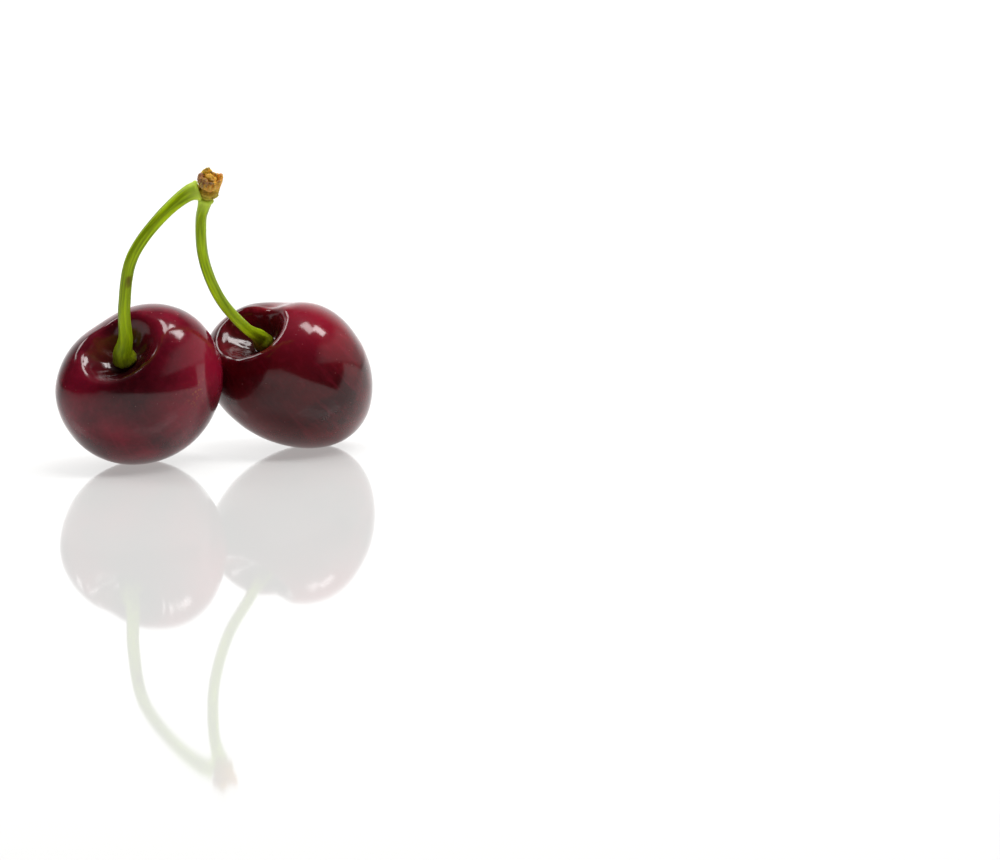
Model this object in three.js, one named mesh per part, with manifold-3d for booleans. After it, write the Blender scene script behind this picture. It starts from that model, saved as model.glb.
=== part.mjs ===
// A pair of sweet cherries on two stalks that spring from one short spur.
// Millimetres, +Z up. Both fruits rest on z = 0, and the stalks arch up and towards -Y.
import * as THREE from "three";
import { mergeVertices } from "three/addons/utils/BufferGeometryUtils.js";
import Module from "manifold-3d";

// ---------- Driving sizes ----------

const CLEARANCE = 0.3; // gap between two pieces that meet
const REST_PRESS = 0.2; // how much of each fruit's lowest point is pressed flat
const FRUIT_SIDES = 44;
const FRUIT_RINGS = 30;
const STALK_SIDES = 12;
const STALK_RINGS = 34;
const BESIDE_STEPS = 6; // rounds of bringing the fruits together

// A fruit in its own frame: +Z to the stalk, X from cheek to cheek, +Y to the suture.
const LEFT_FRUIT = {
  width: 26.9, // cheek to cheek
  thickness: 22.1, // suture to back
  height: 27.6, // shoulders to blossom end, before the cavity is sunk
  fullness: 2.25, // 2 is round-shouldered, more is squarer
  taper: 0.09, // how much fuller the stalk end is than the blossom end
  cavityDepth: 4.6,
  cavityRadius: 8.2,
  shoulderRise: 1.0, // cheeks standing above the suture side at the cavity's rim
  creaseDepth: 0.7, // suture groove, deepest at the cavity's rim
  creaseWidth: 0.36, // its half width round the fruit, in radians
  lean: 52, // from upright, in degrees
  heading: -107, // the way it leans, in degrees from +X
  turn: 131, // about its own axis, in degrees
};
const RIGHT_FRUIT = {
  width: 26.8,
  thickness: 22.0,
  height: 27.8,
  fullness: 2.23,
  taper: 0.16,
  cavityDepth: 4.8,
  cavityRadius: 8.0,
  shoulderRise: 1.6,
  creaseDepth: 1.5,
  creaseWidth: 0.44,
  lean: 47,
  heading: -134,
  turn: 96,
};
const LEFT_PLACE = [2.4, -1.1]; // where the left fruit's centre stands, X and Y
const PAIR_BEARING = 28.8; // the way from there to the right fruit's centre, in degrees from +X
const SCAR_RADIUS = 0.9; // small dimple at the blossom end
const SCAR_DEPTH = 0.35;

// Stalk radii: at the seat in the cavity, along the middle, and at the spur; and how far
// each end's widening reaches.
const LEFT_STALK = { seat: 1.75, middle: 0.93, end: 1.4, seatFlare: 3.2, endFlare: 2.4 };
const RIGHT_STALK = { seat: 1.5, middle: 0.85, end: 1.1, seatFlare: 2.2, endFlare: 1.8 };
const STALK_RUN = 1.5; // nearly straight stretch at each end of a stalk

// The points each stalk passes on its way from the fruit up to the spur: a share of the straight
// line between its two ends, and how far from that line.
const LEFT_STALK_WAY = [
  { share: 0.12, off: [-1.2, -2.5, -0.4] },
  { share: 0.32, off: [-3.4, -3.5, 0.2] },
  { share: 0.58, off: [-4.9, -3.2, 1.0] },
  { share: 0.82, off: [-3.4, -1.6, 1.1] },
];
const RIGHT_STALK_WAY = [
  { share: 0.23, off: [-1.1, -1.8, -2.2] },
  { share: 0.44, off: [-2.9, -1.6, -2.6] },
  { share: 0.68, off: [-3.6, -0.9, -1.7] },
  { share: 0.89, off: [-2.0, 0.1, -0.6] },
];

// The spur: a short knob, its axis leaning towards -Y, with a slimmer neck above it.
const SPUR = {
  centre: [14.5, -18.9, 45.9],
  lean: 35,
  heading: -70,
  radius: 1.75,
  halfLength: 1.9,
  shoulder: 0.5, // height above the centre where the neck starts
  neckRadius: 1.05,
  ridge: 0.1, // height of the rings round it
};
const SPUR_RINGS = 3;
const SPUR_SIDES = 20;

// Where each stalk joins: the way it leaves the spur, how far up the spur's axis, and how far
// out, which keeps it clear of the other stalk's end.
const LEFT_SEAT = { out: [-1, 0, -0.12], distance: RIGHT_STALK.end + 0.35, up: 0.15 };
const RIGHT_SEAT = { out: [-0.25, 0.4, -0.87], distance: LEFT_STALK.end + 0.4, up: 0 };

// The dry bud scales round the spur's neck.
const SCALE_COUNT = 7;
const SCALE = { length: 2.1, gap: 0.1, thickness: 0.32, spread: 0.35, cup: 0.4 };
const SCALE_LENGTHS = [1.0, 0.8, 1.1, 0.9, 1.1, 0.75, 0.95]; // share of SCALE.length, scale by scale

const Z = new THREE.Vector3(0, 0, 1);

// ---------- Materials ----------

function skin(color) {
  return new THREE.MeshStandardMaterial({ color, roughness: 0.18, metalness: 0 });
}

function green(color) {
  return new THREE.MeshStandardMaterial({ color, roughness: 0.5, metalness: 0 });
}

function dry(color) {
  return new THREE.MeshStandardMaterial({ color, roughness: 0.8, metalness: 0 });
}

// ---------- Helpers ----------

const wasm = await Module();
wasm.setup();

function solidOf(geometry) {
  const bare = geometry.clone();
  bare.deleteAttribute("normal");
  bare.deleteAttribute("uv");
  const merged = mergeVertices(bare, 1e-4);
  return new wasm.Manifold(
    new wasm.Mesh({
      numProp: 3,
      vertProperties: new Float32Array(merged.attributes.position.array),
      triVerts: new Uint32Array(merged.index.array),
    }),
  );
}

function geometryOf(solid) {
  const mesh = solid.getMesh();
  const geometry = new THREE.BufferGeometry();
  geometry.setAttribute("position", new THREE.BufferAttribute(mesh.vertProperties, 3));
  geometry.setIndex(new THREE.BufferAttribute(mesh.triVerts, 1));
  geometry.computeVertexNormals();
  return geometry;
}

function meshOf(name, geometry, material) {
  const mesh = new THREE.Mesh(geometry, material);
  mesh.name = name;
  return mesh;
}

// Moves each vertex of a geometry by a rule that changes the point it is given.
function reshape(geometry, rule) {
  const position = geometry.attributes.position;
  const point = new THREE.Vector3();
  for (let i = 0; i < position.count; i += 1) {
    point.fromBufferAttribute(position, i);
    rule(point);
    position.setXYZ(i, point.x, point.y, point.z);
  }
  geometry.computeVertexNormals();
  return geometry;
}

// Revolves [radius, height] points about +Z.
function revolve(points, sides) {
  const profile = points.map(([radius, height]) => new THREE.Vector2(radius, height));
  return new THREE.LatheGeometry(profile, sides).rotateX(Math.PI / 2);
}

// The turn that leans +Z by `lean` towards `heading`, after a turn about its own axis.
function leaning(lean, heading, turn = 0) {
  const toRad = THREE.MathUtils.degToRad;
  return new THREE.Quaternion()
    .setFromAxisAngle(Z, toRad(heading))
    .multiply(new THREE.Quaternion().setFromAxisAngle(new THREE.Vector3(0, 1, 0), toRad(lean)))
    .multiply(new THREE.Quaternion().setFromAxisAngle(Z, toRad(turn)));
}

function direction(values) {
  return new THREE.Vector3(...values).normalize();
}

// The half of space beyond a plane, as a large block to cut with.
function beyond(point, normal) {
  const size = 60;
  const block = new THREE.BoxGeometry(size, size, size).translate(0, 0, size / 2);
  block.applyQuaternion(new THREE.Quaternion().setFromUnitVectors(Z, normal));
  block.translate(point.x, point.y, point.z);
  return solidOf(block);
}

// ---------- Fruits ----------

// How far the cavity sinks the surface at a radius from the axis.
function cavitySink(fruit, stalk, radius) {
  const floor = stalk.seat + CLEARANCE;
  const along = THREE.MathUtils.clamp((radius - floor) / (fruit.cavityRadius - floor), 0, 1);
  return fruit.cavityDepth * (1 - along ** 2) ** 3;
}

// The fruit in its own frame.
function fruitGeometry(fruit, stalk) {
  const profile = [];
  for (let i = FRUIT_RINGS; i >= 0; i -= 1) {
    const u = i / FRUIT_RINGS;
    const angle = Math.PI * (0.35 * u + 0.65 * u * u);
    const power = angle < Math.PI / 2 ? 2 / fruit.fullness : 1;
    const swell = 1 + fruit.taper * Math.cos(angle);
    const radius = (fruit.width / 2) * Math.abs(Math.sin(angle)) ** power * swell;
    const scar = SCAR_DEPTH * Math.exp(-((radius / SCAR_RADIUS) ** 2));
    const rise = Math.sign(Math.cos(angle)) * Math.abs(Math.cos(angle)) ** power;
    const height = (fruit.height / 2) * rise + (rise < 0 ? scar : 0);
    profile.push([i === 0 || i === FRUIT_RINGS ? 0 : radius, height]);
  }
  const geometry = revolve(profile, FRUIT_SIDES);
  return reshape(geometry, (point) => {
    const radius = Math.hypot(point.x, point.y);
    const around = Math.atan2(point.y, point.x);
    const top = Math.max(0, point.z / (fruit.height / 2));
    const cheek = Math.cos(around) ** 2 - 0.5;
    const offSuture = (around - Math.PI / 2) / fruit.creaseWidth;
    const rim = Math.min(1, radius / fruit.cavityRadius);
    const crease = Math.exp(-(offSuture ** 2)) * rim * (0.15 + 0.85 * top ** 2);
    point.y *= fruit.thickness / fruit.width;
    if (point.z > 0) {
      point.z += fruit.shoulderRise * cheek * rim ** 2 * Math.sin(Math.PI * Math.min(1, top));
      point.z -= cavitySink(fruit, stalk, radius) + fruit.creaseDepth * crease * top;
    }
    point.y -= fruit.creaseDepth * crease * (1 - 0.5 * top);
  });
}

// The fruit turned, leaned and set down over the origin, with its resting face pressed flat.
function fruitSetDown(fruit, stalk) {
  const pose = leaning(fruit.lean, fruit.heading, fruit.turn);
  const geometry = fruitGeometry(fruit, stalk).applyQuaternion(pose);
  geometry.computeBoundingBox();
  const lift = -geometry.boundingBox.min.z - REST_PRESS;
  geometry.translate(0, 0, lift);
  const ground = beyond(new THREE.Vector3(), Z.clone().negate());
  const axis = Z.clone().applyQuaternion(pose);
  const seat = axis.clone().multiplyScalar(fruit.height / 2 - fruit.cavityDepth + CLEARANCE);
  seat.z += lift;
  return { solid: solidOf(geometry).subtract(ground), axis, seat };
}

// The same fruit moved to where it stands.
function fruitAt({ solid, axis, seat }, place) {
  return { solid: solid.translate(place.x, place.y, 0), axis, seat: seat.clone().add(place) };
}

// A fruit brought in along a bearing until only the clearance is left between it and another.
function fruitBeside(other, fruit, place, bearing, far) {
  const way = new THREE.Vector3(1, 0, 0).applyQuaternion(leaning(0, bearing));
  let distance = far;
  let placed = fruitAt(fruit, place.clone().addScaledVector(way, distance));
  for (let step = 0; step < BESIDE_STEPS; step += 1) {
    distance -= other.solid.minGap(placed.solid, far) - CLEARANCE;
    placed = fruitAt(fruit, place.clone().addScaledVector(way, distance));
  }
  return placed;
}

// ---------- Stalks ----------

// The stalk's centre line, square to the cavity's floor and to the spur's seat.
function stalkLine(from, way, to) {
  const points = [from.seat, from.seat.clone().addScaledVector(from.axis, STALK_RUN)];
  way.forEach(({ share, off }) => {
    points.push(from.seat.clone().lerp(to.seat, share).add(new THREE.Vector3(...off)));
  });
  points.push(to.seat.clone().addScaledVector(to.axis, STALK_RUN), to.seat);
  return new THREE.CatmullRomCurve3(points, false, "centripetal");
}

// A round bar, widening at both ends, bent along the line.
function stalkGeometry(stalk, line) {
  const length = line.getLength();
  const frames = line.computeFrenetFrames(STALK_RINGS);
  const profile = [[0, 0]];
  for (let i = 0; i <= STALK_RINGS; i += 1) {
    const s = (length * i) / STALK_RINGS;
    const atSeat = (stalk.seat - stalk.middle) * Math.exp(-s / stalk.seatFlare);
    const atEnd = (stalk.end - stalk.middle) * Math.exp((s - length) / stalk.endFlare);
    profile.push([stalk.middle + atSeat + atEnd, i]);
  }
  profile.push([0, STALK_RINGS]);
  return reshape(revolve(profile, STALK_SIDES), (point) => {
    const ring = Math.round(point.z);
    const across = frames.normals[ring].clone().multiplyScalar(point.x);
    const over = frames.binormals[ring].clone().multiplyScalar(point.y);
    point.copy(line.getPointAt(ring / STALK_RINGS)).add(across).add(over);
  });
}

// ---------- Spur and bud scales ----------

const spurPose = leaning(SPUR.lean, SPUR.heading);
const spurCentre = new THREE.Vector3(...SPUR.centre);
const spurAxis = Z.clone().applyQuaternion(spurPose);

// The flat on the spur that a stalk's end faces.
function spurFlat({ out, distance, up }) {
  const axis = direction(out);
  const point = spurCentre.clone().addScaledVector(spurAxis, up).addScaledVector(axis, distance);
  return { axis, point };
}

// Where that stalk ends, clear of the flat.
function spurSeat(seat) {
  const { axis, point } = spurFlat(seat);
  return { axis, seat: point.addScaledVector(axis, CLEARANCE) };
}

function spurGeometry() {
  const steps = 6 * SPUR_RINGS;
  const top = SPUR.halfLength;
  const profile = [[0, -SPUR.halfLength]];
  for (let i = 0; i <= steps; i += 1) {
    const u = i / steps;
    const barrel = Math.sqrt(1 - (0.8 * (2 * u - 1)) ** 2);
    const ridge = SPUR.ridge * Math.cos(2 * Math.PI * SPUR_RINGS * u);
    const height = -SPUR.halfLength + u * (SPUR.halfLength + SPUR.shoulder);
    profile.push([SPUR.radius * barrel + ridge, height]);
  }
  profile.push([SPUR.neckRadius, SPUR.shoulder + 0.1], [SPUR.neckRadius, top - 0.3]);
  profile.push([0.7 * SPUR.neckRadius, top], [0, top + 0.15]);
  const knob = revolve(profile, SPUR_SIDES).applyQuaternion(spurPose);
  knob.translate(spurCentre.x, spurCentre.y, spurCentre.z);
  return [LEFT_SEAT, RIGHT_SEAT].reduce((solid, seat) => {
    const { axis, point } = spurFlat(seat);
    return solid.subtract(beyond(point, axis));
  }, solidOf(knob));
}

// One scale: a thin pointed blade, cupped round the neck and leaning out at its tip.
function budScaleGeometry(index) {
  const length = SCALE.length * SCALE_LENGTHS[index];
  const foot = SPUR.neckRadius + CLEARANCE + SCALE.thickness / 2;
  const width = (2 * Math.PI * foot) / SCALE_COUNT - SCALE.gap;
  const blade = new THREE.SphereGeometry(1, 12, 9).rotateX(Math.PI / 2);
  reshape(blade, (point) => {
    const along = (point.z + 1) / 2;
    const pointed = 1 - 0.55 * along ** 2;
    const x = (width / 2) * pointed * point.x;
    const lean = SCALE.spread * along ** 2 - SCALE.cup * x * x;
    point.set(x, foot + (SCALE.thickness / 2) * point.y + lean, length * along);
  });
  blade.rotateZ((2 * Math.PI * index) / SCALE_COUNT);
  blade.translate(0, 0, SPUR.shoulder + CLEARANCE);
  blade.applyQuaternion(spurPose);
  return blade.translate(spurCentre.x, spurCentre.y, spurCentre.z);
}

// ---------- Assembly ----------

const cluster = new THREE.Group();
cluster.name = "cluster";

const leftPlace = new THREE.Vector3(...LEFT_PLACE, 0);
const left = fruitAt(fruitSetDown(LEFT_FRUIT, LEFT_STALK), leftPlace);
const loose = fruitSetDown(RIGHT_FRUIT, RIGHT_STALK);
const far = LEFT_FRUIT.width + RIGHT_FRUIT.width;
const right = fruitBeside(left, loose, leftPlace, PAIR_BEARING, far);
cluster.add(meshOf("left_cherry", geometryOf(left.solid), skin(0x5a0f1e)));
cluster.add(meshOf("right_cherry", geometryOf(right.solid), skin(0x4d0a18)));

const leftLine = stalkLine(left, LEFT_STALK_WAY, spurSeat(LEFT_SEAT));
const rightLine = stalkLine(right, RIGHT_STALK_WAY, spurSeat(RIGHT_SEAT));
cluster.add(meshOf("left_stalk", stalkGeometry(LEFT_STALK, leftLine), green(0x7fa01c)));
cluster.add(meshOf("right_stalk", stalkGeometry(RIGHT_STALK, rightLine), green(0x769a1a)));

cluster.add(meshOf("spur", geometryOf(spurGeometry()), dry(0x8a6a1e)));
for (let i = 0; i < SCALE_COUNT; i += 1) {
  cluster.add(meshOf(`bud_scale_${i + 1}`, budScaleGeometry(i), dry(0xa8741f)));
}

// The origin is on the surface they rest on, under the middle of the pair.
const bounds = new THREE.Box3().setFromObject(cluster, true);
const middle = bounds.getCenter(new THREE.Vector3());
cluster.position.set(-middle.x, -middle.y, 0);

const root = new THREE.Group();
root.name = "cherries_on_stalks";
root.add(cluster);

export default root;
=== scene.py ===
import math

import bmesh
import bpy
from mathutils import Matrix, Vector, noise


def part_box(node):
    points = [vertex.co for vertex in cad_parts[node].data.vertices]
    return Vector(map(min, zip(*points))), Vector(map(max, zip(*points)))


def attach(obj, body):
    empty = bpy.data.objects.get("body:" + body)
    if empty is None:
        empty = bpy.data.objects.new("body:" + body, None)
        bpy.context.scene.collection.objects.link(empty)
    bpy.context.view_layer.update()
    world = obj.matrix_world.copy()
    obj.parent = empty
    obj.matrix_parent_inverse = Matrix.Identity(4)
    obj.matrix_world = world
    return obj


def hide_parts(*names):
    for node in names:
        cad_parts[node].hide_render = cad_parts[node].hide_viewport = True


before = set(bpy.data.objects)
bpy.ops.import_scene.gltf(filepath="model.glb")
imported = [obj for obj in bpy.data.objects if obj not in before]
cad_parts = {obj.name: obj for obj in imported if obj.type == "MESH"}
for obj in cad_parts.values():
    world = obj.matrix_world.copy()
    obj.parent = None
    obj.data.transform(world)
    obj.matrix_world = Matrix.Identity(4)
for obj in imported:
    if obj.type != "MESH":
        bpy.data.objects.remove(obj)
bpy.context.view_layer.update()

MM = 0.001

# ---------- Sizes ----------

CLEARANCE = 0.3  # the gap that the CAD pieces keep from each other
REST_PRESS = 0.2  # how far each fruit's foot is flattened where it rests
SCAR_RADIUS = 0.9  # the dimple at each fruit's tip
SCAR_DEPTH = 0.35
SCAR_TINT_RADIUS = 0.8
# Lengths in millimetres and angles in degrees; the crease's width is in radians round the axis.
LEFT_FRUIT = {
    "width": 26.9, "thickness": 22.1, "height": 27.6, "fullness": 2.25, "taper": 0.09,
    "cavity_depth": 4.6, "cavity_radius": 8.2, "shoulder_rise": 1.0,
    "crease_depth": 0.7, "crease_width": 0.36, "lean": 52, "heading": -107, "turn": 131,
}
RIGHT_FRUIT = {
    "width": 26.8, "thickness": 22.0, "height": 27.8, "fullness": 2.23, "taper": 0.16,
    "cavity_depth": 4.8, "cavity_radius": 8.0, "shoulder_rise": 1.6,
    "crease_depth": 1.5, "crease_width": 0.44, "lean": 47, "heading": -134, "turn": 96,
}
# Each stalk's radii at the fruit, in the middle and at the spur, how far its two flares reach, and
# how far its foot rights itself off the fruit's axis.
# way: shares of the straight line between its ends, and how far from that line it passes.
# joins: the way it leaves the spur, how far out from the spur's centre and how far up its axis.
# scar_at: how far along it the brown scar is, if it has one.
LEFT_STALK = {
    "seat": 1.75, "middle": 0.93, "end": 1.6, "seat_flare": 3.2, "end_flare": 2.8, "righting": 14,
    "way": (
        (0.12, (-1.2, -0.9, 0.0)), (0.32, (-3.5, -2.7, 0.3)),
        (0.58, (-5.2, -3.0, 1.05)), (0.82, (-3.6, -1.8, 0.8)),
    ),
    "joins": {"out": (-1, 0, -0.3), "distance": 1.45, "up": 0.15},
    "scar_at": 16.3,
}
RIGHT_STALK = {
    "seat": 1.5, "middle": 0.85, "end": 1.3, "seat_flare": 2.2, "end_flare": 1.3, "righting": 4,
    "way": (
        (0.23, (-1.1, -1.8, -2.2)), (0.44, (-2.9, -1.6, -2.6)),
        (0.68, (-3.3, -0.9, -1.7)), (0.89, (-1.75, 0.1, -0.6)),
    ),
    "joins": {"out": (-0.25, 0.4, -0.87), "distance": 1.8, "up": 0},
    "scar_at": None,
}
STALK_RUN = 1.5  # the nearly straight stretch at each end
STALK_GAP = 0.05  # what the visible ends leave of the clearance to the fruit and the spur
# Added to a stalk's radius, each a height and a reach: its foot spreads, and both its ends are
# rounded off. A lip stands a little way from the end at the spur.
FOOT_SPREAD, FOOT_ROUNDING, END_ROUNDING = (0.35, 1.5), (0.2, 0.12), (0.16, 0.12)
LIP = {"height": 0.14, "from_end": 0.4, "width": 0.22}
OLIVE_REACH, YELLOW_REACH = 1.9, 1.6  # how far the colours of the foot and the lip reach
STALK_SCAR_REACH = 0.95
FRONT = Vector((0.35, -0.93, 0)).normalized()  # the way the scar faces
# The spur's centre is measured from the place of the left fruit on the ground. Its knob reaches
# from half its length below that centre up to its shoulder, and a slimmer neck stands above.
SPUR_FROM_LEFT = Vector((12.1, -17.8, 45.9))
SPUR = {"lean": 35, "heading": -70, "radius": 1.75, "half": 1.9, "shoulder": 0.5, "neck": 1.05}
SPUR_RINGS = 3
SPUR_RING_HEIGHT = 0.1
NECK_HEIGHT = 1.6
NECK_SWELL = 1.2
NECK_LUMPIER = 2.2  # how many times lumpier than the knob the neck is
SCALE_COUNT = 7
SCALE = {"length": 2.15, "width": 2.2, "thickness": 0.85, "cup": 0.2, "off_neck": 0.16}
SCALE_LENGTHS = (1.0, 0.85, 1.15, 0.9, 0.8, 0.7, 0.9)
SCALE_CURLS = (0.15, -0.5, -0.3, 0.05, -0.6, -0.4, 0.15)  # outwards at the tip, or inwards

# How finely each piece is divided.
FRUIT_RINGS = 150
FRUIT_SIDES = 220
STALK_RINGS = 150
STALK_SIDES = 40
STALK_STEPS = 60  # between two points of its way
SPUR_SIDES = 64
BARREL_STEPS = 40
NECK_STEPS = 30
SCALE_SIDES = 32
SCALE_RINGS = 24

# ---------- Unevenness of the surfaces: heights and widths in millimetres ----------

CREASE_AT_WAIST = 0.15  # how much of the crease is left at the widest part
FOLDS = {"height": 0.07, "radius": 3.6, "width": 1.2}  # small creases in the cavity's wall
RIM_RIPPLE = {"height": 0.12, "radius": 6.4, "width": 1.8, "fineness": 0.5}
FRUIT_WAVE = 0.004  # the whole fruit's unevenness, as a share of its size
LONG_WAVE, SHORT_WAVE = 0.16, 0.42  # how fine the two parts of it are

# ---------- Colours ----------

LEFT_DEEP, LEFT_BRIGHT = (0.06, 0.001, 0.006, 1), (0.3, 0.007, 0.03, 1)
RIGHT_DEEP, RIGHT_BRIGHT = (0.04, 0.0008, 0.002, 1), (0.22, 0.003, 0.009, 1)
DARK_CELL = (0.03, 0.001, 0.003, 1)
RED_STREAK = (0.33, 0.016, 0.04, 1)
PALE_PORE = (0.5, 0.16, 0.15, 1)
# Painted light: a brighter red laid where the lamps light the skin.
PAINTED_LIGHT_RED = (0.34, 0.012, 0.035, 1)
# Painted shade: a darker red laid across the front of each fruit.
PAINTED_SHADE_RED = (0.035, 0.0008, 0.003, 1)
RUST = (0.4, 0.09, 0.02, 1)
# Painted shade: a dark tint that deepens into each cavity with its depth.
PAINTED_CAVITY_SHADE = (0.022, 0.008, 0.005, 1)
TIP_SCAR = (0.16, 0.08, 0.03, 1)

LEFT_GREEN, RIGHT_GREEN = (0.22, 0.33, 0.002, 1), (0.21, 0.32, 0.002, 1)
LIGHT_GREEN = (0.5, 0.7, 0.005, 1)
GREEN_STRIPE = (0.13, 0.19, 0.002, 1)
GREEN_CLOUD = (0.4, 0.46, 0.01, 1)
GREEN_SPECK = (0.6, 0.7, 0.05, 1)
FOOT_OLIVE = (0.12, 0.11, 0.008, 1)
LIP_YELLOW = (0.62, 0.8, 0.09, 1)
STALK_SCAR = (0.13, 0.05, 0.01, 1)

BARK_OLIVE, BARK_RUST = (0.42, 0.45, 0.015, 1), (0.7, 0.36, 0.02, 1)
BARK_GRAIN = (0.8, 0.5, 0.06, 1)
BARK_CRACK = (0.1, 0.035, 0.012, 1)
SCALE_TINTS = (
    (0.75, 0.3, 0.03, 1), (0.85, 0.5, 0.05, 1), (0.95, 0.72, 0.07, 1), (0.4, 0.14, 0.1, 1),
    (0.26, 0.1, 0.045, 1), (0.68, 0.3, 0.025, 1), (0.7, 0.33, 0.025, 1),
)
SCALE_RIB = (0.95, 0.68, 0.12, 1)
SCALE_BLOT = (0.32, 0.09, 0.012, 1)
SCALE_SCORCH = (0.07, 0.03, 0.015, 1)

# Patches of a fruit's skin: a mask's name, a way out from the middle, and a width in radians.
# The first patch is painted light, a brighter red where the lamps light the skin; the second is
# painted shade, a darker red across the front; the third is rust.
LEFT_PATCHES = (
    ("painted_light", (0.72, -0.52, 0.5), 0.35), ("shade", (0.0, -0.93, 0.1), 0.62),
    ("rusty", (0.75, -0.65, 0.02), 0.17),
)
RIGHT_PATCHES = (
    ("painted_light", (0.15, -0.7, 0.65), 0.5), ("shade", (-0.3, -0.9, -0.2), 0.7),
    ("rusty", (0.9, 0.4, 0.1), 0.2),
)

# ---------- Making pieces ----------


def turned(profile, sides):
    """A closed solid turned about +Z from (radius, height) points that start and end on it."""
    bm = bmesh.new()
    points = [bm.verts.new((radius, 0, height)) for radius, height in profile]
    edges = [bm.edges.new(pair) for pair in zip(points, points[1:])]
    bmesh.ops.spin(
        bm, geom=points + edges, cent=(0, 0, 0), axis=(0, 0, 1), dvec=(0, 0, 0),
        angle=2 * math.pi, steps=sides, use_merge=True, use_duplicate=False,
    )
    bmesh.ops.remove_doubles(bm, verts=bm.verts, dist=1e-5)
    bmesh.ops.recalc_face_normals(bm, faces=bm.faces)
    return bm


def leaning(lean, heading, turn=0):
    """The turn that leans +Z towards a heading, after a turn about its own axis."""
    return (
        Matrix.Rotation(math.radians(heading), 3, "Z")
        @ Matrix.Rotation(math.radians(lean), 3, "Y")
        @ Matrix.Rotation(math.radians(turn), 3, "Z")
    )


def box_middle(points):
    """The middle of the box round some points."""
    low = Vector([min(p[i] for p in points) for i in range(3)])
    high = Vector([max(p[i] for p in points) for i in range(3)])
    return (low + high) / 2


def finished(name, bm, own, masks, material, node):
    """Makes the piece, with its points' places before bending, and its masks, kept on it."""
    bm.verts.index_update()
    bmesh.ops.scale(bm, vec=(MM, MM, MM), verts=bm.verts)
    mesh = bpy.data.meshes.new(name)
    bm.to_mesh(mesh)
    bm.free()
    layer = mesh.attributes.new("own", "FLOAT_VECTOR", "POINT")
    layer.data.foreach_set("vector", [value for point in own for value in point])
    for mask, values in masks.items():
        layer = mesh.attributes.new(mask, "FLOAT", "POINT")
        layer.data.foreach_set("value", values)
    mesh.polygons.foreach_set("use_smooth", [True] * len(mesh.polygons))
    mesh.materials.append(material)
    made = bpy.data.objects.new(name, mesh)
    bpy.context.scene.collection.objects.link(made)
    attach(made, "root")
    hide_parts(node)
    return made


def smoothstep(value, low, high):
    """A soft step from 0 at low to 1 at high."""
    share = min(1, max(0, (value - low) / (high - low)))
    return share * share * (3 - 2 * share)


def hump(value, middle, width):
    """A soft bump, 1 at its middle, that dies away to both sides."""
    return math.exp(-(((value - middle) / width) ** 2))


def fade(distance, reach):
    """1 at no distance, dying away."""
    return math.exp(-distance / reach)


# ---------- Materials ----------


def add(tree, kind, inputs=None, **settings):
    """A node with its settings and inputs, each a number, a colour or another node's output."""
    node = tree.nodes.new(kind)
    for name, value in settings.items():
        setattr(node, name, value)
    for name, value in (inputs or {}).items():
        if isinstance(value, bpy.types.NodeSocket):
            tree.links.new(value, node.inputs[name])
        else:
            node.inputs[name].default_value = value
    return node


def maths(tree, operation, first, second=0.0):
    """The result of one sum on two numbers or outputs."""
    return add(tree, "ShaderNodeMath", {0: first, 1: second}, operation=operation).outputs[0]


def blended(tree, factor, first, second, how="MIX"):
    """Two colours mixed by a factor."""
    node = tree.nodes.new("ShaderNodeMix")
    node.data_type = "RGBA"
    node.blend_type = how
    for socket, value in ((0, factor), (6, first), (7, second)):
        if isinstance(value, bpy.types.NodeSocket):
            tree.links.new(value, node.inputs[socket])
        else:
            node.inputs[socket].default_value = value
    return node.outputs[2]


def spread(tree, value, low, high, to_low=0.0, to_high=1.0):
    """A value's range stretched to another, with its ends held."""
    inputs = {0: value, 1: low, 2: high, 3: to_low, 4: to_high}
    return add(tree, "ShaderNodeMapRange", inputs).outputs[0]


def new_group(name, numbers):
    """An empty node group with a vector and some numbers going in and a mask coming out."""
    tree = bpy.data.node_groups.new(name, "ShaderNodeTree")
    tree.interface.new_socket("Vector", in_out="INPUT", socket_type="NodeSocketVector")
    for number, value in numbers.items():
        socket = tree.interface.new_socket(number, in_out="INPUT", socket_type="NodeSocketFloat")
        socket.default_value = value
    tree.interface.new_socket("Mask", in_out="OUTPUT", socket_type="NodeSocketFloat")
    return tree, tree.nodes.new("NodeGroupInput").outputs, tree.nodes.new("NodeGroupOutput")


def mottle_group():
    """Soft blotches of unequal size."""
    tree, given, out = new_group("mottling", {"Scale": 1.0, "Low": 0.35, "High": 0.65})
    grain = add(tree, "ShaderNodeTexNoise", {
        "Vector": given["Vector"], "Scale": given["Scale"], "Detail": 5.0, "Roughness": 0.55,
    })
    mask = spread(tree, grain.outputs["Fac"], given["Low"], given["High"])
    tree.links.new(mask, out.inputs["Mask"])
    return tree


def fleck_group():
    """Small round dots, one in some of the cells of a loose pattern."""
    tree, given, out = new_group("flecks", {"Scale": 1.0, "Size": 0.2, "Share": 0.5})
    cells = add(tree, "ShaderNodeTexVoronoi", {
        "Vector": given["Vector"], "Scale": given["Scale"],
    })
    pick = add(tree, "ShaderNodeSeparateColor", {"Color": cells.outputs["Color"]})
    kept = maths(tree, "LESS_THAN", pick.outputs[0], given["Share"])
    sized = maths(tree, "MULTIPLY", given["Size"], spread(tree, pick.outputs[1], 0, 1, 0.5, 1.0))
    near = maths(tree, "DIVIDE", cells.outputs["Distance"], sized)
    dot = spread(tree, near, 0.55, 1.0, 1.0, 0.0)
    tree.links.new(maths(tree, "MULTIPLY", dot, kept), out.inputs["Mask"])
    return tree


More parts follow.
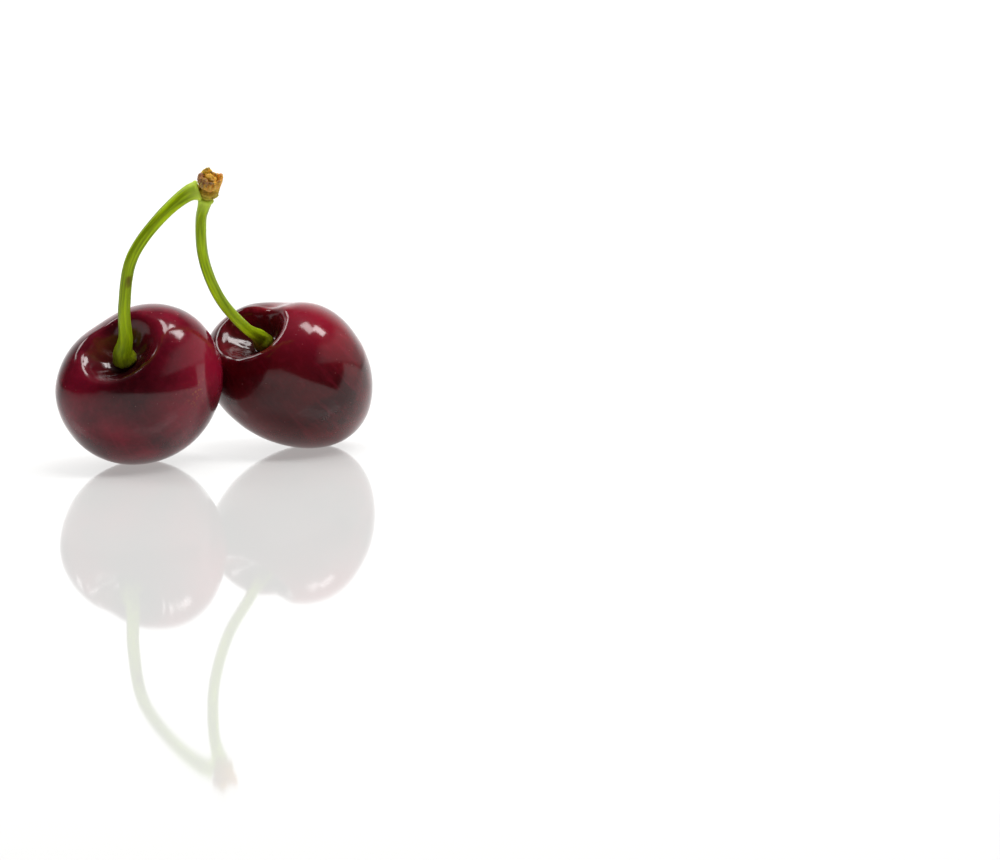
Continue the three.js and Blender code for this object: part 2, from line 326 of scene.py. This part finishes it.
def streak_group():
    """Fine lines that run along the piece's own length."""
    tree, given, out = new_group("streaks", {"Scale": 1.0, "Stretch": 0.1, "Low": 0.4, "High": 0.6})
    parts = add(tree, "ShaderNodeSeparateXYZ", {"Vector": given["Vector"]})
    along = maths(tree, "MULTIPLY", parts.outputs[2], given["Stretch"])
    drawn = add(tree, "ShaderNodeCombineXYZ", {0: parts.outputs[0], 1: parts.outputs[1], 2: along})
    grain = add(tree, "ShaderNodeTexNoise", {
        "Vector": drawn.outputs[0], "Scale": given["Scale"], "Detail": 3.0,
    })
    mask = spread(tree, grain.outputs["Fac"], given["Low"], given["High"])
    tree.links.new(mask, out.inputs["Mask"])
    return tree


GROUPS = {"mottle": mottle_group(), "flecks": fleck_group(), "streaks": streak_group()}


def effect(tree, name, vector, **numbers):
    """The mask of one of the shared effects, with this material's own numbers."""
    node = tree.nodes.new("ShaderNodeGroup")
    node.node_tree = GROUPS[name]
    tree.links.new(vector, node.inputs["Vector"])
    for number, value in numbers.items():
        node.inputs[number.capitalize()].default_value = value
    return node.outputs["Mask"]


def kept(tree, name, output="Fac"):
    """A coordinate or mask that was kept on the piece."""
    return add(tree, "ShaderNodeAttribute", attribute_name=name).outputs[output]


def new_material(name, **constants):
    """A material with constants on its shader's sockets; gives its tree and shader too."""
    material = bpy.data.materials.new(name)
    material.use_nodes = True
    tree = material.node_tree
    shader = tree.nodes["Principled BSDF"]
    for socket, value in constants.items():
        shader.inputs[socket.replace("_", " ")].default_value = value
    return material, tree, shader


def layered(tree, colour, *layers):
    """A colour with tints laid over it in turn.

    Each layer is a mask, or the name of one kept on the piece, its strength and its tint.
    """
    for mask, strength, tint in layers:
        if isinstance(mask, str):
            mask = kept(tree, mask)
        colour = blended(tree, maths(tree, "MULTIPLY", mask, strength), colour, tint)
    return colour


def raised(tree, shader, height, strength, distance):
    """Feeds a height to the shader's normal; the distance is in millimetres."""
    bump = add(tree, "ShaderNodeBump", {
        "Height": height, "Strength": strength, "Distance": distance * MM,
    })
    tree.links.new(bump.outputs[0], shader.inputs["Normal"])


def skin_material(name, deep, bright, offset):
    """Dark glossy cherry skin: cloudy reds, pale pores, fine streaks and a few rusty specks, with
    painted light on its lit side and painted shade across its front and in its cavity.
    """
    material, tree, shader = new_material(
        name, IOR=1.47, Subsurface_Weight=0.12, Subsurface_Scale=0.0015,
        Subsurface_Radius=(1.0, 0.12, 0.1), Specular_Tint=(1.0, 0.96, 0.96, 1.0),
    )
    own = add(tree, "ShaderNodeVectorMath", {0: kept(tree, "own", "Vector"), 1: offset}).outputs[0]
    clouds = effect(tree, "mottle", own, scale=0.11, low=0.33, high=0.66)
    cells = effect(tree, "mottle", own, scale=1.9, low=0.3, high=0.7)
    streaks = effect(tree, "streaks", own, scale=1.1, stretch=0.12, low=0.5, high=0.72)
    pores = effect(tree, "flecks", own, scale=0.95, size=0.16, share=0.35)
    rust = effect(tree, "flecks", own, scale=1.6, size=0.5, share=0.6)
    colour = layered(
        tree, blended(tree, clouds, deep, bright),
        (cells, 0.2, DARK_CELL), (streaks, 0.25, RED_STREAK), (pores, 0.3, PALE_PORE),
        # Painted light: a brighter red on the lit side; painted shade: a darker red across the
        # front.
        ("painted_light", 0.6, PAINTED_LIGHT_RED), ("shade", 0.7, PAINTED_SHADE_RED),
    )
    rusty = maths(tree, "MULTIPLY", rust, kept(tree, "rusty"))
    colour = layered(
        # The cavity's tint is painted shade, darker the deeper the cavity sinks.
        tree, colour, (rusty, 0.6, RUST), ("hollow", 0.75, PAINTED_CAVITY_SHADE), ("scar", 0.9, TIP_SCAR),
    )
    tree.links.new(colour, shader.inputs["Base Color"])
    dull = spread(tree, cells, 0, 1, to_low=0.11, to_high=0.16)
    dull = maths(tree, "ADD", dull, maths(tree, "MULTIPLY", pores, 0.15))
    dull = maths(tree, "ADD", dull, maths(tree, "MULTIPLY", kept(tree, "scar"), 0.5))
    tree.links.new(dull, shader.inputs["Roughness"])
    grain = effect(tree, "mottle", own, scale=3.2, low=0.2, high=0.8)
    height = maths(tree, "SUBTRACT", maths(tree, "MULTIPLY", grain, 0.25), pores)
    raised(tree, shader, height, strength=0.12, distance=0.02)
    return material


def stalk_material(name, dark):
    """Waxy green stalk: lengthwise fibres, yellower at the spur, olive at the fruit."""
    material, tree, shader = new_material(
        name, IOR=1.4, Specular_IOR_Level=0.2, Subsurface_Weight=0.3, Subsurface_Scale=0.0008,
        Subsurface_Radius=(0.7, 1.0, 0.1),
    )
    own = kept(tree, "own", "Vector")
    fibres = effect(tree, "streaks", own, scale=2.6, stretch=0.05, low=0.38, high=0.66)
    clouds = effect(tree, "mottle", own, scale=0.4, low=0.35, high=0.7)
    specks = effect(tree, "flecks", own, scale=1.4, size=0.2, share=0.3)
    stripe = effect(tree, "streaks", own, scale=0.75, stretch=0.03, low=0.44, high=0.6)
    colour = layered(
        tree, blended(tree, fibres, dark, LIGHT_GREEN),
        (stripe, 0.6, GREEN_STRIPE), (clouds, 0.3, GREEN_CLOUD), (specks, 0.25, GREEN_SPECK),
        ("foot", 0.75, FOOT_OLIVE), ("lip", 0.85, LIP_YELLOW), ("scar", 0.85, STALK_SCAR),
    )
    tree.links.new(colour, shader.inputs["Base Color"])
    dull = spread(tree, fibres, 0, 1, to_low=0.34, to_high=0.46)
    tree.links.new(dull, shader.inputs["Roughness"])
    height = maths(tree, "ADD", fibres, maths(tree, "MULTIPLY", clouds, 0.5))
    raised(tree, shader, height, strength=0.4, distance=0.05)
    return material


def bark_material(name):
    """Young bark: olive at its foot, rusty above, dark in its cracks."""
    material, tree, shader = new_material(name, IOR=1.45)
    own = kept(tree, "own", "Vector")
    cracks = effect(tree, "mottle", own, scale=1.3, low=0.42, high=0.6)
    grain = effect(tree, "streaks", own, scale=3.5, stretch=0.3, low=0.4, high=0.65)
    rusty = spread(tree, kept(tree, "height"), 0.1, 0.7)
    colour = layered(
        tree, blended(tree, rusty, BARK_OLIVE, BARK_RUST),
        (grain, 0.45, BARK_GRAIN), (cracks, 0.5, BARK_CRACK),
    )
    tree.links.new(colour, shader.inputs["Base Color"])
    dull = spread(tree, grain, 0, 1, to_low=0.55, to_high=0.8)
    tree.links.new(dull, shader.inputs["Roughness"])
    height = maths(tree, "SUBTRACT", grain, cracks)
    raised(tree, shader, height, strength=0.6, distance=0.08)
    return material


def scale_material(name, tint):
    """A dry papery scale: ribbed, with a scorched tip."""
    material, tree, shader = new_material(
        name, IOR=1.45, Subsurface_Weight=0.5, Subsurface_Scale=0.0008,
        Subsurface_Radius=(1.0, 0.6, 0.15),
    )
    own = kept(tree, "own", "Vector")
    ribs = effect(tree, "streaks", own, scale=4.0, stretch=0.15, low=0.4, high=0.65)
    blots = effect(tree, "mottle", own, scale=1.8, low=0.42, high=0.66)
    colour = layered(tree, tint, (ribs, 0.5, SCALE_RIB), (blots, 0.35, SCALE_BLOT))
    colour = blended(tree, kept(tree, "tip"), colour, SCALE_SCORCH)
    tree.links.new(colour, shader.inputs["Base Color"])
    dull = spread(tree, ribs, 0, 1, to_low=0.45, to_high=0.7)
    tree.links.new(dull, shader.inputs["Roughness"])
    raised(tree, shader, ribs, strength=0.5, distance=0.05)
    return material


# ---------- Fruits ----------


def fruit_profile(fruit):
    """The fruit's outline before its cavity is sunk, in steps that are finest at the top."""
    points = []
    for i in range(FRUIT_RINGS + 1):
        u = i / FRUIT_RINGS
        angle = math.pi * (0.35 * u + 0.65 * u * u)
        power = 2 / fruit["fullness"] if angle < math.pi / 2 else 1
        swell = 1 + fruit["taper"] * math.cos(angle)
        radius = fruit["width"] / 2 * abs(math.sin(angle)) ** power * swell
        rise = math.copysign(abs(math.cos(angle)) ** power, math.cos(angle))
        scar = SCAR_DEPTH * hump(radius, 0, SCAR_RADIUS) if rise < 0 else 0
        points.append((0 if i in (0, FRUIT_RINGS) else radius, fruit["height"] / 2 * rise + scar))
    return points


def shape_fruit(point, fruit, stalk):
    """Flattens the cheeks, sinks the cavity and draws the suture; gives the cavity's mask."""
    radius = math.hypot(point.x, point.y)
    around = math.atan2(point.y, point.x)
    top = max(0, point.z / (fruit["height"] / 2))
    cheek = math.cos(around) ** 2 - 0.5
    rim = min(1, radius / fruit["cavity_radius"])
    crease = hump(around, math.pi / 2, fruit["crease_width"]) * rim
    crease *= CREASE_AT_WAIST + (1 - CREASE_AT_WAIST) * top ** 2
    floor = stalk["seat"] + CLEARANCE
    reach = min(1, max(0, (radius - floor) / (fruit["cavity_radius"] - floor)))
    sink = (1 - reach ** 2) ** 3
    point.y *= fruit["thickness"] / fruit["width"]
    hollow = 0
    if point.z > 0:
        rise = fruit["shoulder_rise"] * cheek * rim ** 2 * math.sin(math.pi * min(1, top))
        fold = math.sin(6 * around + 0.8) + 0.6 * math.sin(11 * around + 2.1)
        fold *= FOLDS["height"] * hump(radius, FOLDS["radius"], FOLDS["width"])
        # Its heading gives each fruit a ripple of its own.
        ripple = Vector((point.x, point.y, fruit["heading"])) * RIM_RIPPLE["fineness"]
        ripple = RIM_RIPPLE["height"] * noise.noise(ripple)
        fold += ripple * hump(radius, RIM_RIPPLE["radius"], RIM_RIPPLE["width"])
        point.z += rise + fold - fruit["cavity_depth"] * sink - fruit["crease_depth"] * crease * top
        hollow = sink
    point.y -= fruit["crease_depth"] * crease * (1 - 0.5 * top)
    return hollow


def make_fruit(name, fruit, stalk, patches, material, node):
    """The fruit set down where its CAD node is; gives its place, and its stalk's seat and axis."""
    bm = turned(fruit_profile(fruit), FRUIT_SIDES)
    pose = leaning(fruit["lean"], fruit["heading"], fruit["turn"])
    own, hollows, scars = [], [], []
    for vert in bm.verts:
        point = vert.co
        hollows.append(shape_fruit(point, fruit, stalk))
        reach = math.hypot(point.x, point.y)
        scars.append(math.exp(-((reach / SCAR_TINT_RADIUS) ** 4)) if point.z < 0 else 0)
        own.append(tuple(point))
        wave = noise.noise(point * LONG_WAVE) + 0.35 * noise.noise(point * SHORT_WAVE)
        vert.co = pose @ (point * (1 + FRUIT_WAVE * wave))
    lift = -min(vert.co.z for vert in bm.verts) - REST_PRESS
    middle = box_middle([vert.co for vert in bm.verts])
    low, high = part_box(node)
    centre_x, centre_y = (low.x + high.x) / 2 / MM, (low.y + high.y) / 2 / MM
    place = Vector((centre_x - middle.x, centre_y - middle.y, lift))
    masks = {"hollow": hollows, "scar": scars}
    for mask, way, width in patches:
        towards = Vector(way).normalized()
        masks[mask] = [
            hump(vert.co.normalized().angle(towards), 0, width) for vert in bm.verts
        ]
    for vert in bm.verts:
        vert.co += place
        vert.co.z = max(0, vert.co.z)
    finished(name, bm, own, masks, material, node)
    axis = pose @ Vector((0, 0, 1))
    floor = fruit["height"] / 2 - fruit["cavity_depth"]
    return place, place + axis * (floor + CLEARANCE), axis


left_skin = skin_material("left_cherry_skin", LEFT_DEEP, LEFT_BRIGHT, (0, 0, 0))
right_skin = skin_material("right_cherry_skin", RIGHT_DEEP, RIGHT_BRIGHT, (31, 17, 5))
left_place, left_seat, left_axis = make_fruit(
    "left_fruit", LEFT_FRUIT, LEFT_STALK, LEFT_PATCHES, left_skin, "left_cherry")
_, right_seat, right_axis = make_fruit(
    "right_fruit", RIGHT_FRUIT, RIGHT_STALK, RIGHT_PATCHES, right_skin,
    "right_cherry")

# ---------- Stalks ----------

spur_pose = leaning(SPUR["lean"], SPUR["heading"])
spur_centre = SPUR_FROM_LEFT + Vector((left_place.x, left_place.y, 0))
spur_axis = spur_pose @ Vector((0, 0, 1))


def spur_seat(joins):
    """Where a stalk ends at the spur, and the way it leaves."""
    out = Vector(joins["out"]).normalized()
    reach = joins["distance"] + CLEARANCE
    return spur_centre + spur_axis * joins["up"] + out * reach, out


def smooth_line(points, steps):
    """Evenly spaced points on the smooth line through the given ones."""
    ends = [2 * points[0] - points[1], *points, 2 * points[-1] - points[-2]]
    dense = []
    for a, b, c, d in zip(ends, ends[1:], ends[2:], ends[3:]):
        one = (b - a).length ** 0.5
        two = one + (c - b).length ** 0.5
        three = two + (d - c).length ** 0.5
        for k in range(STALK_STEPS):
            t = one + (two - one) * k / STALK_STEPS
            ab = a.lerp(b, t / one)
            bc = b.lerp(c, (t - one) / (two - one))
            cd = c.lerp(d, (t - two) / (three - two))
            abc = ab.lerp(bc, t / two)
            bcd = bc.lerp(cd, (t - one) / (three - one))
            dense.append(abc.lerp(bcd, (t - one) / (two - one)))
    dense.append(points[-1])
    run = [0.0]
    for first, second in zip(dense, dense[1:]):
        run.append(run[-1] + (second - first).length)
    line, k = [], 0
    for i in range(steps + 1):
        goal = run[-1] * i / steps
        while k < len(run) - 2 and run[k + 1] < goal:
            k += 1
        line.append(dense[k].lerp(dense[k + 1], (goal - run[k]) / (run[k + 1] - run[k])))
    return line, run[-1]


def stalk_outline(stalk, s, length):
    """The stalk's radius at a distance from its foot: flared ends, and a lip at the spur."""
    to_spur = length - s
    at_seat = (stalk["seat"] - stalk["middle"]) * fade(s, stalk["seat_flare"])
    at_end = (stalk["end"] - stalk["middle"]) * fade(to_spur, stalk["end_flare"])
    (spread_height, spread_reach), (round_height, round_reach) = FOOT_SPREAD, FOOT_ROUNDING
    trumpet = spread_height * fade(s, spread_reach) - round_height * fade(s, round_reach)
    lip = LIP["height"] * hump(to_spur, LIP["from_end"], LIP["width"])
    edge = END_ROUNDING[0] * fade(to_spur, END_ROUNDING[1])
    return stalk["middle"] + at_seat + at_end + trumpet + lip - edge


def stalk_rib(around, s, length):
    """How much the stalk swells or shrinks there: shallow ribs, rougher towards its ends."""
    rib = 1 + 0.022 * math.cos(5 * around + 0.12 * s) + 0.014 * math.cos(9 * around - 0.2 * s)
    rib += 0.02 * noise.noise(Vector((math.cos(around), math.sin(around), s * 0.5)))
    ends = fade(s, 0.8) + fade(length - s, 0.9)
    rough = noise.noise(Vector((2.2 * math.cos(around), 2.2 * math.sin(around), 9 + s)))
    return rib + 0.02 * ends * rough


def stalk_scar(stalk, s, point, outwards):
    """The scar's mask: a ragged patch on the side that faces front."""
    if stalk["scar_at"] is None:
        return 0
    off = (s - stalk["scar_at"]) / STALK_SCAR_REACH + 0.5 * noise.noise(point * 1.4)
    return smoothstep(outwards.dot(FRONT), 0.7, 0.98) * math.exp(-(off ** 4))


def make_stalk(name, stalk, seat, axis, material, node):
    """A round bar bent along its line, flared at both ends, with shallow ribs."""
    end, out = spur_seat(stalk["joins"])
    upright = Matrix.Rotation(math.radians(stalk["righting"]), 3, axis.cross(Vector((0, 0, 1))))
    start = upright @ axis
    foot = seat - start * (CLEARANCE - STALK_GAP)
    tip = end - out * (CLEARANCE - STALK_GAP)
    points = [foot, foot + start * STALK_RUN]
    points += [seat.lerp(end, share) + Vector(off) for share, off in stalk["way"]]
    points += [end + out * STALK_RUN, tip]
    line, length = smooth_line(points, STALK_RINGS)
    profile = [(0, 0)]
    for i in range(STALK_RINGS + 1):
        profile.append((stalk_outline(stalk, length * i / STALK_RINGS, length), i))
    profile.append((0, STALK_RINGS))
    bm = turned(profile, STALK_SIDES)
    across = (line[1] - line[0]).orthogonal().normalized()
    normals, tangents = [], []
    for i in range(STALK_RINGS + 1):
        ahead = line[min(i + 1, STALK_RINGS)] - line[max(i - 1, 0)]
        tangent = ahead.normalized()
        across = (across - tangent * across.dot(tangent)).normalized()
        normals.append(across.copy())
        tangents.append(tangent)
    own, feet, lips, scars = [], [], [], []
    for vert in bm.verts:
        ring = round(vert.co.z)
        s = length * ring / STALK_RINGS
        around = math.atan2(vert.co.y, vert.co.x)
        rib = stalk_rib(around, s, length)
        x, y = vert.co.x * rib, vert.co.y * rib
        over = tangents[ring].cross(normals[ring])
        vert.co = line[ring] + normals[ring] * x + over * y
        own.append((x, y, s))
        feet.append(hump(s, 0, OLIVE_REACH))
        lips.append(hump(s, length, YELLOW_REACH))
        scars.append(stalk_scar(stalk, s, vert.co, (vert.co - line[ring]).normalized()))
    finished(name, bm, own, {"foot": feet, "lip": lips, "scar": scars}, material, node)


left_green = stalk_material("left_stalk_skin", LEFT_GREEN)
right_green = stalk_material("right_stalk_skin", RIGHT_GREEN)
make_stalk("left_stem", LEFT_STALK, left_seat, left_axis,
           left_green, "left_stalk")
make_stalk("right_stem", RIGHT_STALK, right_seat, right_axis,
           right_green, "right_stalk")

# ---------- Spur and bud scales ----------


def make_spur():
    """The lumpy knob, a barrel with growth rings, and the neck that the scales stand round."""
    half, shoulder = SPUR["half"], SPUR["shoulder"]
    profile = [(0, -half)]
    for i in range(BARREL_STEPS + 1):
        u = i / BARREL_STEPS
        barrel = math.sqrt(1 - (0.8 * (2 * u - 1)) ** 2) * (0.88 + 0.14 * u)
        ridge = SPUR_RING_HEIGHT * math.cos(2 * SPUR_RINGS * math.pi * u)
        profile.append((SPUR["radius"] * barrel + ridge, -half + u * (half + shoulder)))
    for i in range(NECK_STEPS + 1):
        u = i / NECK_STEPS
        bulge = math.sqrt(max(0, 1 - u ** 3))
        profile.append((SPUR["neck"] * NECK_SWELL * bulge, shoulder + 0.1 + NECK_HEIGHT * u))
    bm = turned(profile, SPUR_SIDES)
    own, heights = [], []
    for vert in bm.verts:
        own.append(tuple(vert.co))
        heights.append((vert.co.z + half) / (2 * half))
        lump = 0.12 * noise.noise(vert.co * 1.1) + 0.07 * noise.noise(vert.co * 2.6)
        if vert.co.z > shoulder:
            lump *= NECK_LUMPIER
        vert.co = spur_pose @ (vert.co * (1 + lump)) + spur_centre
    bark = bark_material("spur_bark")
    finished("spur_knob", bm, own, {"height": heights}, bark, "spur")


def make_scale(index):
    """One scale: a pointed blade cupped round the neck, ragged and curling at its tip."""
    length = SCALE["length"] * SCALE_LENGTHS[index]
    foot = SPUR["neck"] + CLEARANCE + SCALE["off_neck"]
    bm = bmesh.new()
    bmesh.ops.create_uvsphere(bm, u_segments=SCALE_SIDES, v_segments=SCALE_RINGS, radius=1)
    own, tips = [], []
    scorched = 0.25 + 0.6 * ((index * 3) % 4) / 3
    turn = Matrix.Rotation(2 * math.pi * index / SCALE_COUNT, 3, "Z")
    for vert in bm.verts:
        point = vert.co.copy()
        along = (point.z + 1) / 2
        ragged = noise.noise(Vector((point.x * 3, index * 7.3, along * 4)))
        pointed = (1 - 0.45 * along ** 3) * (1 + 0.35 * ragged)
        x = SCALE["width"] / 2 * pointed * point.x
        curl = SCALE_CURLS[index] * along ** 2
        lean = curl - SCALE["cup"] * x * x + 0.12 * ragged
        rib = 0.05 * hump(x, 0, 0.12)
        y = foot + SCALE["thickness"] / 2 * point.y + lean + (rib if point.y > 0 else 0)
        z = length * along * (1 + 0.1 * ragged * abs(point.x))
        own.append((x, y - foot, z))
        tips.append(smoothstep(along + 0.15 * ragged, 0.82, 1.0) * scorched)
        placed = turn @ Vector((x, y, z + SPUR["shoulder"] + 0.05))
        vert.co = spur_pose @ placed + spur_centre
    bmesh.ops.recalc_face_normals(bm, faces=bm.faces)
    name = f"dry_scale_{index + 1}"
    material = scale_material(name, SCALE_TINTS[index])
    finished(name, bm, own, {"tip": tips}, material, f"bud_scale_{index + 1}")


make_spur()
for scale_index in range(SCALE_COUNT):
    make_scale(scale_index)

# ---------- Table, lights and camera: in metres and watts ----------

# The edge between the table's stretch that shows in the skins and the one that doesn't: from the
# front left it slopes back to a bend, then it runs straight across to the right.
EDGE_BEND = Vector((0.035, -0.005))
EDGE_SLOPE = 1.6
TABLE_HALF_WIDTH = 3
TABLE_FAR = 3.0
TABLE_NEAR = -8.0
WINDOW_AIM = (0, 0, 0.02)


def make_table(name, near, far, mirrored):
    """A stretch of plain white glossy table; near and far are along Y, or None for the edge."""
    bm = bmesh.new()
    bmesh.ops.create_grid(bm, x_segments=2, y_segments=1, size=0.5)
    for vert in bm.verts:
        side = round(2 * vert.co.x)
        across = TABLE_HALF_WIDTH * side if side else EDGE_BEND.x
        edge = EDGE_BEND.y + EDGE_SLOPE * (min(across, EDGE_BEND.x) - EDGE_BEND.x)
        reach = near if vert.co.y < 0 else far
        vert.co = Vector((across, edge if reach is None else reach, 0))
    mesh = bpy.data.meshes.new(name)
    bm.to_mesh(mesh)
    bm.free()
    mesh.materials.append(table_white)
    table = bpy.data.objects.new(name, mesh)
    bpy.context.scene.collection.objects.link(table)
    table.visible_glossy = mirrored


def make_room():
    """A pale room: bright behind the cherries, dim in front, plain white where it is looked at."""
    world = bpy.data.worlds.new("room")
    world.use_nodes = True
    bpy.context.scene.world = world
    tree = world.node_tree
    way = add(tree, "ShaderNodeTexCoord").outputs["Generated"]
    parts = add(tree, "ShaderNodeSeparateXYZ", {0: way})
    right, back, up = parts.outputs
    behind = spread(tree, back, 0.5, 0.92, to_low=0.03, to_high=1.15)
    overhead = spread(tree, up, 0.75, 1.0, to_low=0.0, to_high=0.15)
    # A pale wall on the right, from the table's level up to 30 degrees and gone by 43.
    side = maths(tree, "MULTIPLY", spread(tree, right, 0.5, 0.72), spread(tree, up, 0.68, 0.5))
    lit = spread(tree, up, -0.02, 0.05, to_low=0.0, to_high=0.55)
    side = maths(tree, "MULTIPLY", side, lit)
    level = maths(tree, "MAXIMUM", maths(tree, "MAXIMUM", behind, overhead), side)
    seen = add(tree, "ShaderNodeLightPath").outputs["Is Camera Ray"]
    unseen = maths(tree, "SUBTRACT", 1.0, seen)
    strength = maths(tree, "ADD", maths(tree, "MULTIPLY", level, unseen), seen)
    background = tree.nodes["Background"]
    background.inputs["Color"].default_value = (1, 1, 1, 1)
    tree.links.new(strength, background.inputs["Strength"])


def softbox(name, place, aim, size, power, mirrored=True):
    """A rectangular light turned to face a point; mirrored ones show in glossy surfaces."""
    light = bpy.data.lights.new(name, "AREA")
    light.shape = "RECTANGLE"
    light.size, light.size_y = size
    light.energy = power
    lamp = bpy.data.objects.new(name, light)
    bpy.context.scene.collection.objects.link(lamp)
    lamp.location = place
    lamp.rotation_mode = "QUATERNION"
    lamp.rotation_quaternion = (Vector(aim) - Vector(place)).to_track_quat("-Z", "Y")
    lamp.visible_camera = False
    lamp.visible_glossy = mirrored


table_white, _, _ = new_material(
    "white_table", Base_Color=(0.42, 0.42, 0.415, 1), Roughness=0.04, IOR=1.33,
    Emission_Color=(1, 1, 0.985, 1), Emission_Strength=0.33)
make_table("table", None, TABLE_FAR, True)
make_table("table_front", TABLE_NEAR, None, False)
make_room()
softbox("overhead", (0.0, 0.3, 0.9), (0, 0, 0), size=(1.4, 0.8), power=6, mirrored=False)
softbox("window_left_pane", (0.12, -0.11, 0.8), WINDOW_AIM, size=(0.22, 0.34), power=2.3)
softbox("window_right_pane", (0.42, -0.06, 0.7), WINDOW_AIM, size=(0.2, 0.34), power=2.9)
softbox("window_behind", (-0.52, 0.3, 0.53), WINDOW_AIM, size=(0.26, 0.2), power=0.9)

# The camera looks at AIM from DISTANCE in front, down by RISE and tipped sideways by ROLL.
AIM = Vector((45.1, -0.4, 4.3)) * MM
RISE = math.radians(8.83)
ROLL = math.radians(0.96)
DISTANCE = 0.895
look = Vector((0, math.cos(RISE), -math.sin(RISE)))
level_right = Vector((1, 0, 0))
level_up = Vector((0, math.sin(RISE), math.cos(RISE)))
camera_right = math.cos(ROLL) * level_right - math.sin(ROLL) * level_up
camera_up = math.cos(ROLL) * level_up + math.sin(ROLL) * level_right
lens = bpy.data.cameras.new("camera")
lens.sensor_width = 36
lens.lens = 203
lens.clip_start = 0.01
lens.clip_end = 20
camera = bpy.data.objects.new("camera", lens)
bpy.context.scene.collection.objects.link(camera)
turning = Matrix((camera_right, camera_up, -look)).transposed()
camera.matrix_world = Matrix.Translation(AIM - look * DISTANCE) @ turning.to_4x4()
bpy.context.scene.camera = camera
bpy.context.scene.view_settings.view_transform = "Standard"
